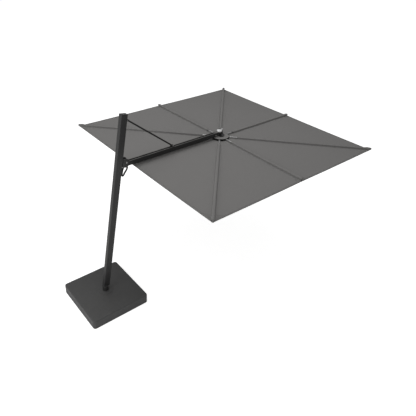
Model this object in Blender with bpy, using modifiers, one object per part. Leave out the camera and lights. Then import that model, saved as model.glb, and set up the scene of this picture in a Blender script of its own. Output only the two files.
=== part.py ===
"""Cantilever parasol with a square canopy, a leaning mast and a ballasted square base.

Metres, +Z up. The origin is the middle of the base's underside, +X points from the mast to the
canopy. The mast leans towards the canopy. A carriage on the mast's front track carries the arm,
a strut ties the arm to the mast's head, and eight ribs lie on top of the canopy cloth.
"""
import math

import bmesh
import bpy
from mathutils import Matrix, Vector

GAP = 0.0003  # clearance between touching pieces

# Base
BASE_SIDE = 0.898
BASE_HEIGHT = 0.150
BASE_CORNER = 0.040
BASE_EDGE = 0.016
COVER_WALL = 0.003
COVER_FOOT = 0.004
PLATE_SIDE = 0.860
PLATE_CORNER = 0.055
PLATE_THICKNESS = 0.008
SLAB_SIDE = 0.385
SLAB_HEIGHT = 0.090
SLAB_OFFSET = 0.232
SPIGOT_RADIUS = 0.030
SPIGOT_TOP = 0.220
ROSETTE_RADIUS = 0.105
ROSETTE_THICKNESS = 0.003

# Mast, in its own frame: Z runs up the mast, X is its front
LEAN = math.radians(8.7)
MAST_DEPTH = 0.090
MAST_WIDTH = 0.060
MAST_WALL = 0.004
MAST_CORNER = 0.005
MAST_TOP = 2.662
TRACK_SLOT = 0.014
TRACK_WIDTH = 0.032
TRACK_DEPTH = 0.016
COLLAR_RADIUS = 0.044
COLLAR_TOP = 0.235
CAP_THICKNESS = 0.006

# Linkage pivots in the mast's frame: distance in front of the axis, and height along it
CARRIAGE_OUT = 0.100
CARRIAGE_UP = 2.0454
STRUT_HEAD_OUT = 0.062
STRUT_HEAD_UP = 2.5900

# Carriage
BRACKET_TOP = 0.048  # from the arm's pivot
BRACKET_BOTTOM = -0.065
CHEEK_THICKNESS = 0.006
CHEEK_REACH = 0.132
PIVOT_CAP_RADIUS = 0.0115
HANDLE_WIRE = 0.0115
HANDLE_HINGE_OUT = -0.012
HANDLE_HINGE_UP = 0.007  # hinge above the bracket's lower edge

# Arm
ARM_WIDTH = 0.050
ARM_HEIGHT = 0.062
ARM_TOP = 2.160
ARM_WALL = 0.003
GROOVE_WIDTH = 0.022
GROOVE_DEPTH = 0.044
PIVOT_RADIUS = 0.008
ROOT_EYE = 0.027
ROOT_LENGTH = 0.046
HEAD_START = 0.110
NOSE_RADIUS = 0.045
STRUT_FOOT_X = 1.155
STRUT_FOOT_Z = 2.172
LUG_THICKNESS = 0.006
LUG_LENGTH = 0.045
LUG_HEIGHT = 0.020

# Strut
STRUT_THICKNESS = 0.012
STRUT_DEPTH = 0.020

# Hub and canopy
HUB_X = 2.036
TILT_Z = 2.138
CANOPY_SIDE = 3.000
HEM_Z = 2.059
DECK_RISE = 0.003
CLOTH = 0.002
RIB_COUNT = 8
RIB_WIDTH = 0.020
RIB_HEIGHT = 0.022
RIB_LIFT = 0.0015
RIB_ROOT = 0.045
TONGUE_WIDTH = 0.008
RING_RADIUS = 0.062
RING_WIRE = 0.002
SLOT_START = 0.0285  # radius at which the ring's slots for the rib tongues begin
FLANGE_RADIUS = 0.066
FLANGE_BOTTOM = -0.0438  # from the hub's tilt pin
FLANGE_THICKNESS = 0.0098
FLANGE_FLAT = -0.040  # the flange is cut straight here, clear of the arm's nose
VENT_RADIUS = 0.138
TIP_LENGTH = 0.060
TIP_SIDE = 0.024

DECK_HUB_Z = HEM_Z + DECK_RISE
RIB_AXIS_Z = DECK_HUB_Z + RIB_LIFT + RIB_HEIGHT / 2
UP = Vector((math.sin(LEAN), 0, math.cos(LEAN)))
FRONT = Vector((math.cos(LEAN), 0, -math.sin(LEAN)))
MAST_FOOT = Vector((0, 0, BASE_HEIGHT))
CARRIAGE_PIVOT = MAST_FOOT + UP * CARRIAGE_UP + FRONT * CARRIAGE_OUT
STRUT_HEAD = MAST_FOOT + UP * STRUT_HEAD_UP + FRONT * STRUT_HEAD_OUT
STRUT_FOOT = Vector((STRUT_FOOT_X, 0, STRUT_FOOT_Z))


def clear_scene():
    for obj in list(bpy.data.objects):
        bpy.data.objects.remove(obj, do_unlink=True)


def collection(name):
    group = bpy.data.collections.new(name)
    bpy.context.scene.collection.children.link(group)
    return group


def principled(name, colour, roughness, metallic=0.0):
    mat = bpy.data.materials.new(name)
    mat.use_nodes = True
    shader = mat.node_tree.nodes["Principled BSDF"]
    shader.inputs["Base Color"].default_value = (*colour, 1.0)
    shader.inputs["Roughness"].default_value = roughness
    shader.inputs["Metallic"].default_value = metallic
    return mat


clear_scene()
PARTS = collection("cantilever_parasol")
CUTTERS = collection("cutters")

POWDER = principled("powder_coat", (0.045, 0.046, 0.048), 0.45, 0.3)
ARM_COAT = principled("arm_coat", (0.030, 0.030, 0.032), 0.45, 0.3)
COVER_COAT = principled("cover_coat", (0.075, 0.076, 0.078), 0.60)
STEEL = principled("steel", (0.55, 0.56, 0.57), 0.35, 1.0)
SILVER = principled("silver", (0.62, 0.63, 0.64), 0.30, 1.0)
CONCRETE = principled("concrete", (0.36, 0.35, 0.33), 0.90)
PLASTIC = principled("plastic", (0.030, 0.030, 0.031), 0.55)
CLOTH_GREY = principled("cloth", (0.145, 0.145, 0.140), 0.95)


def frame(name, matrix, parent=None):
    """An empty that stands for a body's own axes."""
    empty = bpy.data.objects.new(name, None)
    empty.empty_display_size = 0.05
    PARTS.objects.link(empty)
    empty.parent = parent
    empty.matrix_local = matrix
    return empty


def place(obj, parent, at=(0, 0, 0), turn=(0, 0, 0)):
    obj.parent = parent
    obj.location = at
    obj.rotation_euler = turn
    return obj


def mesh_object(name, bm, mat, smooth=None):
    mesh = bpy.data.meshes.new(name)
    bmesh.ops.recalc_face_normals(bm, faces=bm.faces)
    bm.to_mesh(mesh)
    bm.free()
    mesh.materials.append(mat)
    if smooth:
        mesh.shade_smooth()
        mesh.set_sharp_from_angle(angle=smooth)
    obj = bpy.data.objects.new(name, mesh)
    PARTS.objects.link(obj)
    return obj


def bevel(obj, width, segments=2):
    mod = obj.modifiers.new("edges", "BEVEL")
    mod.width = width
    mod.segments = segments
    mod.limit_method = "ANGLE"
    mod.angle_limit = math.radians(40)
    return obj


def box(name, size, mat, rounding=0.0, segments=2):
    bm = bmesh.new()
    bmesh.ops.create_cube(bm, size=1.0, matrix=Matrix.Diagonal((*size, 1)))
    obj = mesh_object(name, bm, mat)
    return bevel(obj, rounding, segments) if rounding else obj


def drum(name, radius, height, mat, rounding=0.0, segments=40, top=None):
    bm = bmesh.new()
    bmesh.ops.create_cone(
        bm, cap_ends=True, segments=segments, radius1=radius,
        radius2=radius if top is None else top, depth=height,
    )
    obj = mesh_object(name, bm, mat, math.radians(40))
    return bevel(obj, rounding, 2) if rounding else obj


def arc(cx, cy, radius, start, stop, steps):
    return [
        (cx + radius * math.cos(math.radians(a)), cy + radius * math.sin(math.radians(a)))
        for a in (start + (stop - start) * i / steps for i in range(steps + 1))
    ]


def rounded_rectangle(width, depth, radius, steps=4):
    x, y = width / 2 - radius, depth / 2 - radius
    corners = ((x, y, 0), (-x, y, 90), (-x, -y, 180), (x, -y, 270))
    return [p for cx, cy, a in corners for p in arc(cx, cy, radius, a, a + 90, steps)]


def extrusion(name, outlines, length, mat):
    """A flat outline with its holes, pulled to a length along Z and made a closed mesh."""
    curve = bpy.data.curves.new(name, "CURVE")
    curve.dimensions = "2D"
    curve.fill_mode = "BOTH"
    curve.extrude = length / 2
    for outline in outlines:
        spline = curve.splines.new("POLY")
        spline.points.add(len(outline) - 1)
        for point, (x, y) in zip(spline.points, outline):
            point.co = (x, y, 0, 1)
        spline.use_cyclic_u = True
    return curve_mesh(name, curve, mat)


def curve_mesh(name, curve, mat):
    guide = bpy.data.objects.new(name + "_guide", curve)
    CUTTERS.objects.link(guide)
    depsgraph = bpy.context.evaluated_depsgraph_get()
    mesh = bpy.data.meshes.new_from_object(guide.evaluated_get(depsgraph))
    bpy.data.objects.remove(guide, do_unlink=True)
    bm = bmesh.new()
    bm.from_mesh(mesh)
    bpy.data.meshes.remove(mesh)
    bmesh.ops.remove_doubles(bm, verts=bm.verts, dist=0.00001)
    return mesh_object(name, bm, mat, math.radians(40))


def rod(name, points, radius, mat, cyclic=False, resolution=3):
    curve = bpy.data.curves.new(name, "CURVE")
    curve.dimensions = "3D"
    curve.bevel_depth = radius
    curve.bevel_resolution = resolution
    curve.use_fill_caps = True
    spline = curve.splines.new("POLY")
    spline.points.add(len(points) - 1)
    for point, co in zip(spline.points, points):
        point.co = (*co, 1)
    spline.use_cyclic_u = cyclic
    return curve_mesh(name, curve, mat)


def cut(target, tool, operation="DIFFERENCE"):
    for group in list(tool.users_collection):
        group.objects.unlink(tool)
    CUTTERS.objects.link(tool)
    tool.hide_render = True
    tool.display_type = "WIRE"
    mod = target.modifiers.new(tool.name, "BOOLEAN")
    mod.operation = operation
    mod.solver = "EXACT"
    mod.object = tool
    return target


SIDEWAYS = (math.radians(90), 0, 0)  # turns a drum's or an extrusion's Z to lie along Y


def build_base():
    origin = frame("base_frame", Matrix.Identity(4))
    plate = extrusion(
        "base_plate", [rounded_rectangle(PLATE_SIDE, PLATE_SIDE, PLATE_CORNER)], PLATE_THICKNESS, STEEL
    )
    place(plate, origin, (0, 0, PLATE_THICKNESS / 2))
    slab_z = PLATE_THICKNESS + GAP + SLAB_HEIGHT / 2
    for number, (sx, sy) in enumerate(((1, 1), (-1, 1), (-1, -1), (1, -1)), 1):
        slab = box(f"ballast_slab_{number}", (SLAB_SIDE, SLAB_SIDE, SLAB_HEIGHT), CONCRETE, 0.006, 1)
        place(slab, origin, (sx * SLAB_OFFSET, sy * SLAB_OFFSET, slab_z))
    build_cover(origin)
    build_spigot(origin)
    rosette = drum("cover_rosette", ROSETTE_RADIUS, ROSETTE_THICKNESS, COVER_COAT, 0.001, 64)
    place(rosette, origin, (0, 0, BASE_HEIGHT + GAP + ROSETTE_THICKNESS / 2))
    hole = drum("rosette_hole", SPIGOT_RADIUS + 0.002, 0.02, COVER_COAT)
    place(hole, origin, (0, 0, BASE_HEIGHT))
    cut(rosette, hole)


def build_cover(origin):
    """A thin sheet-metal hood, open below, with soft upper edges."""
    bm = bmesh.new()
    height = BASE_HEIGHT - COVER_FOOT
    bmesh.ops.create_cube(bm, size=1.0, matrix=Matrix.Diagonal((BASE_SIDE, BASE_SIDE, height, 1)))
    uprights = [e for e in bm.edges if abs((e.verts[0].co - e.verts[1].co).z) > height / 2]
    bmesh.ops.bevel(
        bm, geom=uprights, offset=BASE_CORNER, offset_type="OFFSET", segments=6, profile=0.5,
        affect="EDGES",
    )
    upper = [e for e in bm.edges if all(v.co.z > height / 2 - 1e-6 for v in e.verts)]
    bmesh.ops.bevel(
        bm, geom=upper, offset=BASE_EDGE, offset_type="OFFSET", segments=3, profile=0.5,
        affect="EDGES",
    )
    floor = [f for f in bm.faces if all(v.co.z < -height / 2 + 1e-6 for v in f.verts)]
    bmesh.ops.delete(bm, geom=floor, context="FACES")
    cover = mesh_object("base_cover", bm, COVER_COAT, math.radians(40))
    place(cover, origin, (0, 0, COVER_FOOT + height / 2))
    shell = cover.modifiers.new("sheet", "SOLIDIFY")
    shell.thickness = COVER_WALL
    shell.offset = -1.0
    shell.use_even_offset = True
    hole = drum("cover_hole", SPIGOT_RADIUS + 0.002, 0.05, COVER_COAT)
    place(hole, origin, (0, 0, BASE_HEIGHT))
    cut(cover, hole)


def build_spigot(origin):
    """Upright swivel tube with its welded flange."""
    flange_top = PLATE_THICKNESS + GAP + 0.008
    spigot = drum("base_spigot", SPIGOT_RADIUS, SPIGOT_TOP - PLATE_THICKNESS - GAP, STEEL, 0.002)
    place(spigot, origin, (0, 0, (SPIGOT_TOP + PLATE_THICKNESS + GAP) / 2))
    flange = drum("spigot_flange", 0.045, 0.008, STEEL)
    place(flange, origin, (0, 0, flange_top - 0.004))
    cut(spigot, flange, "UNION")


def mast_outline():
    """The mast's section: a rounded box with an undercut track in its front wall."""
    front = MAST_DEPTH / 2
    lip = front - MAST_WALL
    back = lip - TRACK_DEPTH
    half_slot, half_track = TRACK_SLOT / 2, TRACK_WIDTH / 2
    outline = rounded_rectangle(MAST_DEPTH, MAST_WIDTH, MAST_CORNER)
    track = [
        (front, -half_slot), (lip, -half_slot), (lip, -half_track), (back, -half_track),
        (back, half_track), (lip, half_track), (lip, half_slot), (front, half_slot),
    ]
    chamber_front = back - MAST_WALL
    chamber_back = -front + MAST_WALL
    chamber = rounded_rectangle(
        chamber_front - chamber_back, MAST_WIDTH - 2 * MAST_WALL, MAST_CORNER - MAST_WALL, 2
    )
    middle = (chamber_front + chamber_back) / 2
    return outline + track, [(x + middle, y) for x, y in chamber]


def build_mast():
    mast = frame("mast_frame", Matrix.Translation(MAST_FOOT) @ Matrix.Rotation(LEAN, 4, "Y"))
    upright = frame("swivel_frame", Matrix.Translation(MAST_FOOT))

    outline, chamber = mast_outline()
    tube = extrusion("mast_profile", [outline, chamber], MAST_TOP, POWDER)
    place(tube, mast, (0, 0, MAST_TOP / 2))
    below = box("mast_foot_cut", (0.4, 0.4, 0.4), POWDER)
    place(below, upright, (0, 0, COLLAR_TOP + GAP - BASE_HEIGHT - 0.2))
    cut(tube, below)

    cap = extrusion(
        "mast_cap", [rounded_rectangle(MAST_DEPTH, MAST_WIDTH, MAST_CORNER)], CAP_THICKNESS, PLASTIC
    )
    bevel(cap, 0.0015, 1)
    place(cap, mast, (0, 0, MAST_TOP + GAP + CAP_THICKNESS / 2))

    collar_bottom = BASE_HEIGHT + 2 * GAP + ROSETTE_THICKNESS
    collar_height = COLLAR_TOP - collar_bottom
    socket = drum("mast_socket", COLLAR_RADIUS, collar_height, POWDER, 0.003, 48)
    place(socket, upright, (0, 0, (COLLAR_TOP + collar_bottom) / 2 - BASE_HEIGHT))
    chamber_depth = MAST_DEPTH - 3 * MAST_WALL - TRACK_DEPTH
    chamber_middle = -MAST_DEPTH / 2 + MAST_WALL + chamber_depth / 2
    stub = extrusion(
        "socket_stub",
        [rounded_rectangle(chamber_depth - 0.002, MAST_WIDTH - 2 * MAST_WALL - 0.002, MAST_CORNER)],
        0.16, POWDER,
    )
    place(stub, mast, (chamber_middle, 0, 0.110))
    cut(socket, stub, "UNION")
    bore_top = SPIGOT_TOP + 0.004
    bore = drum("socket_bore", SPIGOT_RADIUS + 0.0008, bore_top - collar_bottom + 0.01, POWDER)
    place(bore, upright, (0, 0, (bore_top + collar_bottom - 0.01) / 2 - BASE_HEIGHT))
    cut(socket, bore)

    build_strut_bracket(mast)
    return mast


def build_strut_bracket(mast):
    """Two small ears on the mast's front that hold the strut's head on a cross pin."""
    face = MAST_DEPTH / 2 + GAP
    pad = 0.005
    bracket = box("strut_bracket", (pad, 0.034, 0.060), POWDER, 0.001, 1)
    place(bracket, mast, (face + pad / 2, 0, STRUT_HEAD_UP))
    reach = STRUT_HEAD_OUT - face + 0.009
    for side in (1, -1):
        ear = box(f"strut_bracket_ear_{side}", (reach, 0.004, 0.026), POWDER)
        place(ear, mast, (face + 0.001 + reach / 2, side * 0.0095, STRUT_HEAD_UP))
        cut(bracket, ear, "UNION")
    pin_hole = drum("strut_bracket_hole", 0.0043, 0.06, POWDER, segments=20)
    place(pin_hole, mast, (STRUT_HEAD_OUT, 0, STRUT_HEAD_UP), SIDEWAYS)
    cut(bracket, pin_hole)
    pin = drum("strut_head_pin", 0.004, 0.028, STEEL, 0.0008, 20)
    place(pin, mast, (STRUT_HEAD_OUT, 0, STRUT_HEAD_UP), SIDEWAYS)


def build_carriage(mast):
    carriage = frame("carriage_frame", Matrix.Translation((CARRIAGE_OUT, 0, CARRIAGE_UP)), mast)
    front = MAST_DEPTH / 2
    track_middle = front - MAST_WALL - TRACK_DEPTH / 2

    middle = (BRACKET_TOP + BRACKET_BOTTOM) / 2
    glide = box("carriage_glide", (TRACK_DEPTH - 0.0016, TRACK_WIDTH - 0.0016, 0.106), PLASTIC, 0.001, 1)
    place(glide, carriage, (track_middle - CARRIAGE_OUT, 0, middle))
    neck_length = MAST_WALL + 0.006
    neck = box("glide_neck", (neck_length, TRACK_SLOT - 0.0016, 0.100), PLASTIC)
    place(neck, carriage, (front - MAST_WALL - 0.002 + neck_length / 2 - CARRIAGE_OUT, 0, middle))
    cut(glide, neck, "UNION")

    plate_back = front + 0.0046
    plate = 0.005
    inner = ARM_WIDTH / 2 + 0.0015
    bracket = box(
        "carriage_bracket", (plate, 2 * (inner + CHEEK_THICKNESS), BRACKET_TOP - BRACKET_BOTTOM), POWDER,
        0.0015, 1,
    )
    place(bracket, carriage, (plate_back + plate / 2 - CARRIAGE_OUT, 0, middle))
    reach = CHEEK_REACH - plate_back - 0.001
    outline = (
        [(0, BRACKET_BOTTOM), (reach - 0.020, BRACKET_BOTTOM)]
        + arc(reach - 0.020, BRACKET_BOTTOM + 0.020, 0.020, -90, 0, 4)[1:]
        + arc(reach - 0.034, BRACKET_TOP - 0.034, 0.034, 0, 90, 5)
        + [(0, BRACKET_TOP)]
    )
    for side in (1, -1):
        cheek = extrusion(f"bracket_cheek_{side}", [outline], CHEEK_THICKNESS, POWDER)
        cheek_y = side * (inner + CHEEK_THICKNESS / 2)
        place(cheek, carriage, (plate_back + 0.001 - CARRIAGE_OUT, cheek_y, 0), SIDEWAYS)
        cut(bracket, cheek, "UNION")
    hole = drum("bracket_hole", PIVOT_RADIUS + GAP, 0.12, POWDER)
    place(hole, carriage, (0, 0, 0), SIDEWAYS)
    cut(bracket, hole)
    notch = box("bracket_glide_notch", (0.004, TRACK_SLOT - 0.001, 0.101), POWDER)
    place(notch, carriage, (plate_back - CARRIAGE_OUT, 0, middle))
    cut(bracket, notch)

    outer = inner + CHEEK_THICKNESS
    bolt = drum("arm_pivot_bolt", PIVOT_RADIUS, 2 * outer - 0.001, STEEL, 0.001, 32)
    place(bolt, carriage, (0, 0, 0), SIDEWAYS)
    for side, name in ((1, "left"), (-1, "right")):
        cap = drum(f"pivot_cap_{name}", PIVOT_CAP_RADIUS, 0.005, SILVER, 0.0015, 32)
        place(cap, carriage, (0, side * (outer + GAP + 0.0025), 0), SIDEWAYS)
    build_handle(carriage)


def softened(points, rounds=2):
    """A closed outline with its corners cut off again and again, until it runs smoothly."""
    for _ in range(rounds):
        pairs = list(zip(points, points[1:] + points[:1]))
        points = [(a * (1 - t) + b * t) for a, b in pairs for t in (0.25, 0.75)]
    return points


def build_handle(carriage):
    """A slanted oval pull under the carriage, hung plumb on a cross pin between the cheeks."""
    hinge = Vector((HANDLE_HINGE_OUT, 0, BRACKET_BOTTOM + HANDLE_HINGE_UP))
    handle = frame("handle_frame", Matrix.Translation(hinge) @ Matrix.Rotation(-LEAN, 4, "Y"), carriage)
    outline = (
        (0.012, -0.018), (0.042, -0.026), (0.050, -0.038), (0.034, -0.070), (0.000, -0.110),
        (-0.014, -0.138), (-0.031, -0.138), (-0.038, -0.112), (-0.025, -0.060), (-0.009, -0.012),
    )
    path = softened([Vector((x, 0, z)) for x, z in outline])
    loop = rod("handle_loop", path, HANDLE_WIRE, POWDER, cyclic=True)
    place(loop, handle)
    eye = drum("handle_eye", 0.011, 0.030, POWDER, segments=24)
    place(eye, handle, (0, 0, 0), SIDEWAYS)
    cut(loop, eye, "UNION")
    eye_hole = drum("handle_eye_hole", 0.0044, 0.06, POWDER, segments=20)
    place(eye_hole, handle, (0, 0, 0), SIDEWAYS)
    cut(loop, eye_hole)
    pin = drum("handle_pin", 0.004, ARM_WIDTH + 0.002, STEEL, 0.0006, 20)
    place(pin, carriage, hinge, SIDEWAYS)


def arm_section():
    """The arm's section: a box with a deep groove from above and a hollow on each side of it."""
    half, top, bottom = ARM_WIDTH / 2, ARM_HEIGHT / 2, -ARM_HEIGHT / 2
    r = 0.003
    groove, floor = GROOVE_WIDTH / 2, top - GROOVE_DEPTH
    outline = (
        arc(half - r, top - r, r, 0, 90, 2)
        + [(groove, top), (groove, floor), (-groove, floor), (-groove, top)]
        + arc(-half + r, top - r, r, 90, 180, 2)
        + arc(-half + r, bottom + r, r, 180, 270, 2)
        + arc(half - r, bottom + r, r, 270, 360, 2)
    )
    inner, outer = groove + ARM_WALL, half - ARM_WALL
    cells = []
    for side in (1, -1):
        left, right = sorted((side * inner, side * outer))
        cells.append([
            (left, bottom + ARM_WALL), (right, bottom + ARM_WALL),
            (right, top - ARM_WALL), (left, top - ARM_WALL),
        ])
    return [outline] + cells


ALONG_X = (math.radians(90), 0, math.radians(90))  # turns an extrusion's X, Y, Z to Y, Z, X


def build_arm():
    arm = frame("arm_frame", Matrix.Translation(CARRIAGE_PIVOT))
    middle = ARM_TOP - ARM_HEIGHT / 2 - CARRIAGE_PIVOT.z
    head = HUB_X - CARRIAGE_PIVOT.x
    beam_start, beam_end = ROOT_LENGTH + GAP, head - HEAD_START - 0.020 - GAP
    beam = extrusion("arm_beam", arm_section(), beam_end - beam_start, ARM_COAT)
    place(beam, arm, ((beam_start + beam_end) / 2, 0, middle), ALONG_X)

    root = box("arm_root", (ROOT_LENGTH, ARM_WIDTH, ARM_HEIGHT), ARM_COAT, 0.003)
    place(root, arm, (ROOT_LENGTH / 2, 0, middle))
    eye = drum("root_eye", ROOT_EYE, ARM_WIDTH, ARM_COAT)
    place(eye, arm, (0, 0, 0), SIDEWAYS)
    cut(root, eye, "UNION")
    bore = drum("root_bore", PIVOT_RADIUS + 0.0004, 0.12, ARM_COAT)
    place(bore, arm, (0, 0, 0), SIDEWAYS)
    cut(root, bore)
    inset = box("root_groove", (0.08, GROOVE_WIDTH, 0.040), ARM_COAT)
    place(inset, arm, (0.052, 0, ARM_TOP - CARRIAGE_PIVOT.z + 0.012))
    cut(root, inset)

    build_arm_head(arm, head, middle)
    foot = STRUT_FOOT - CARRIAGE_PIVOT
    for side, name in ((1, "left"), (-1, "right")):
        build_strut_lug(arm, foot, side, name)


def build_strut_lug(arm, foot, side, name):
    """One of the two lips beside the groove that hold the strut's foot, and its bolt."""
    base = ARM_TOP - CARRIAGE_PIVOT.z + GAP
    y = side * (GROOVE_WIDTH / 2 + 0.0005 + LUG_THICKNESS / 2)
    lug = box(f"strut_lug_{name}", (LUG_LENGTH, LUG_THICKNESS, LUG_HEIGHT), ARM_COAT, 0.002)
    place(lug, arm, (foot.x, y, base + LUG_HEIGHT / 2))
    hole = drum(f"strut_lug_{name}_hole", 0.0043, 0.02, ARM_COAT, segments=20)
    place(hole, arm, (foot.x, y, foot.z), SIDEWAYS)
    cut(lug, hole)
    knob_height = 0.0035
    knob_y = GROOVE_WIDTH / 2 + 0.0005 + LUG_THICKNESS + GAP + knob_height / 2
    start = STRUT_THICKNESS / 2 + GAP
    bolt = drum(f"strut_foot_bolt_{name}", 0.004, knob_y - start, STEEL, 0.0006, 20)
    place(bolt, arm, (foot.x, side * (knob_y + start) / 2, foot.z), SIDEWAYS)
    knob = drum(f"strut_foot_knob_{name}", 0.0075, knob_height, STEEL, 0.0008, 24)
    place(knob, arm, (foot.x, side * knob_y, foot.z), SIDEWAYS)
    cut(bolt, knob, "UNION")


def build_arm_head(arm, head, middle):
    """The cast end of the arm: a full block, then a flat round nose that forks over the hub's lug."""
    tilt_z = TILT_Z - CARRIAGE_PIVOT.z
    top = ARM_TOP - CARRIAGE_PIVOT.z
    nose_bottom = tilt_z - 0.0075
    nose_height = top - nose_bottom
    casting = box("arm_head", (0.020, ARM_WIDTH, ARM_HEIGHT), ARM_COAT, 0.003)
    place(casting, arm, (head - HEAD_START - 0.010, 0, middle))
    bar_length = HEAD_START + 0.004
    bar = box("head_bar", (bar_length, ARM_WIDTH, nose_height), ARM_COAT)
    place(bar, arm, (head - bar_length / 2 - 0.001, 0, nose_bottom + nose_height / 2))
    cut(casting, bar, "UNION")
    nose = drum("head_nose", NOSE_RADIUS, nose_height, ARM_COAT, 0.002, 48)
    place(nose, arm, (head - 0.005, 0, nose_bottom + nose_height / 2))
    cut(casting, nose, "UNION")
    pocket_top = tilt_z + 0.0108
    pocket_height = pocket_top - nose_bottom + 0.010
    pocket = box("head_pocket", (0.072, 0.0264, pocket_height), ARM_COAT)
    place(pocket, arm, (head - 0.021, 0, pocket_top - pocket_height / 2))
    cut(casting, pocket)
    tilt_hole = drum("head_tilt_hole", 0.0053, 0.12, ARM_COAT, segments=24)
    place(tilt_hole, arm, (head, 0, tilt_z), SIDEWAYS)
    cut(casting, tilt_hole)
    pin_hole = drum("head_pin_hole", 0.0048, 0.06, ARM_COAT, segments=24)
    place(pin_hole, arm, (head + 0.030, 0, top), (0, 0, 0))
    cut(casting, pin_hole)

    tilt_pin = drum("hub_tilt_pin", 0.005, ARM_WIDTH + 0.006, STEEL, 0.0008, 24)
    place(tilt_pin, arm, (head, 0, tilt_z), SIDEWAYS)
    cap = drum("head_cap", 0.037, 0.016, SILVER, 0.002, 48)
    place(cap, arm, (head - 0.020, 0, top + GAP + 0.008))

    build_lock_pin(arm, (head + 0.030, 0, top))


def build_lock_pin(arm, at):
    """A pull pin with a round knob that stands on the nose."""
    lock = frame("lock_pin_frame", Matrix.Translation(at), arm)
    stem = drum("lock_pin", 0.0042, 0.034, SILVER, 0.0006, 24)
    place(stem, lock, (0, 0, 0.001))
    knob = drum("lock_pin_knob", 0.0085, 0.026, SILVER, 0.0015, 28)
    place(knob, lock, (0, 0, 0.018))
    cut(stem, knob, "UNION")


def build_strut():
    run = STRUT_FOOT - STRUT_HEAD
    angle = math.atan2(-run.z, run.x)
    strut = frame("strut_frame", Matrix.Translation(STRUT_HEAD) @ Matrix.Rotation(angle, 4, "Y"))
    bar = box("strut_bar", (run.length, STRUT_THICKNESS, STRUT_DEPTH), ARM_COAT, 0.002)
    place(bar, strut, (run.length / 2, 0, 0))
    for name, x in (("head", 0.0), ("foot", run.length)):
        eye = drum(f"strut_{name}_eye", STRUT_DEPTH / 2, STRUT_THICKNESS, ARM_COAT, segments=28)
        place(eye, strut, (x, 0, 0), SIDEWAYS)
        cut(bar, eye, "UNION")
    bore = drum("strut_head_bore", 0.0044, 0.05, ARM_COAT, segments=20)
    place(bore, strut, (0, 0, 0), SIDEWAYS)
    cut(bar, bore)


def build_hub():
    hub = frame("hub_frame", Matrix.Translation((HUB_X, 0, TILT_Z)))
    body = drum("hub_body", FLANGE_RADIUS, FLANGE_THICKNESS, POWDER, 0.0010, 56)
    place(body, hub, (0, 0, FLANGE_BOTTOM + FLANGE_THICKNESS / 2))
    flat = box("flange_flat", (0.060, 0.160, 0.030), POWDER)
    place(flat, hub, (FLANGE_FLAT - 0.030, 0, FLANGE_BOTTOM + FLANGE_THICKNESS / 2))
    cut(body, flat)
    boss_bottom = DECK_HUB_Z - TILT_Z + 0.0020
    boss_height = FLANGE_BOTTOM + 0.001 - boss_bottom
    boss = drum("hub_boss", 0.020, boss_height, POWDER)
    place(boss, hub, (0, 0, boss_bottom + boss_height / 2))
    cut(body, boss, "UNION")
    stem_height = -FLANGE_BOTTOM
    stem = box("hub_stem", (0.020, 0.0250, stem_height), POWDER)
    place(stem, hub, (0, 0, FLANGE_BOTTOM + stem_height / 2 + 0.001))
    cut(body, stem, "UNION")
    lug = drum("hub_lug", 0.0100, 0.0250, POWDER, segments=32)
    place(lug, hub, (0, 0, 0), SIDEWAYS)
    cut(body, lug, "UNION")
    bore = drum("hub_bore", 0.0054, 0.08, POWDER, segments=24)
    place(bore, hub, (0, 0, 0), SIDEWAYS)
    cut(body, bore)

    pivot_z = RIB_AXIS_Z - TILT_Z
    ring_bottom, ring_top = pivot_z - 0.0110, pivot_z + 0.0150
    ring = drum("rib_ring", RING_RADIUS, ring_top - ring_bottom, POWDER, 0.0015, 56)
    place(ring, hub, (0, 0, (ring_top + ring_bottom) / 2))
    centre = drum("ring_centre", 0.0204, 0.08, POWDER)
    place(centre, hub, (0, 0, pivot_z))
    cut(ring, centre)
    for number in range(RIB_COUNT):
        angle = number * math.tau / RIB_COUNT
        slot_length, slot_height = 0.054, 0.040
        slot = box(f"ring_slot_{number + 1}", (slot_length, TONGUE_WIDTH + 0.0016, slot_height), POWDER)
        out = SLOT_START + slot_length / 2
        place(
            slot, hub,
            (out * math.cos(angle), out * math.sin(angle), pivot_z + 0.0115 - slot_height / 2),
            (0, 0, angle),
        )
        cut(ring, slot)
    channel = torus("ring_channel", RIB_ROOT, RING_WIRE + GAP)
    place(channel, hub, (0, 0, pivot_z))
    cut(ring, channel)
    wire = torus("rib_ring_wire", RIB_ROOT, RING_WIRE)
    place(wire, hub, (0, 0, pivot_z))

    vent = drum("vent_cap", VENT_RADIUS, CLOTH, CLOTH_GREY, segments=64)
    place(vent, hub, (0, 0, ring_top + 0.0006 + CLOTH / 2))
    vent_hole = drum("vent_hole", 0.0205, 0.02, CLOTH_GREY)
    place(vent_hole, hub, (0, 0, ring_top))
    cut(vent, vent_hole)

    deck = DECK_HUB_Z - TILT_Z
    nut_height = 0.022
    nut = drum("hub_nut", 0.027, nut_height, PLASTIC, 0.003, 40)
    place(nut, hub, (0, 0, deck - CLOTH / 2 - GAP - nut_height / 2))
    for number in range(RIB_COUNT):
        build_rib(hub, number)


def torus(name, ring_radius, wire_radius):
    steps = 48
    path = [
        (ring_radius * math.cos(math.tau * i / steps), ring_radius * math.sin(math.tau * i / steps), 0)
        for i in range(steps)
    ]
    return rod(name, path, wire_radius, STEEL, cyclic=True, resolution=1)


def hem_distance(angle):
    """How far the square hem is from the middle of the canopy in this direction."""
    return CANOPY_SIDE / 2 / max(abs(math.cos(angle)), abs(math.sin(angle)))


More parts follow.
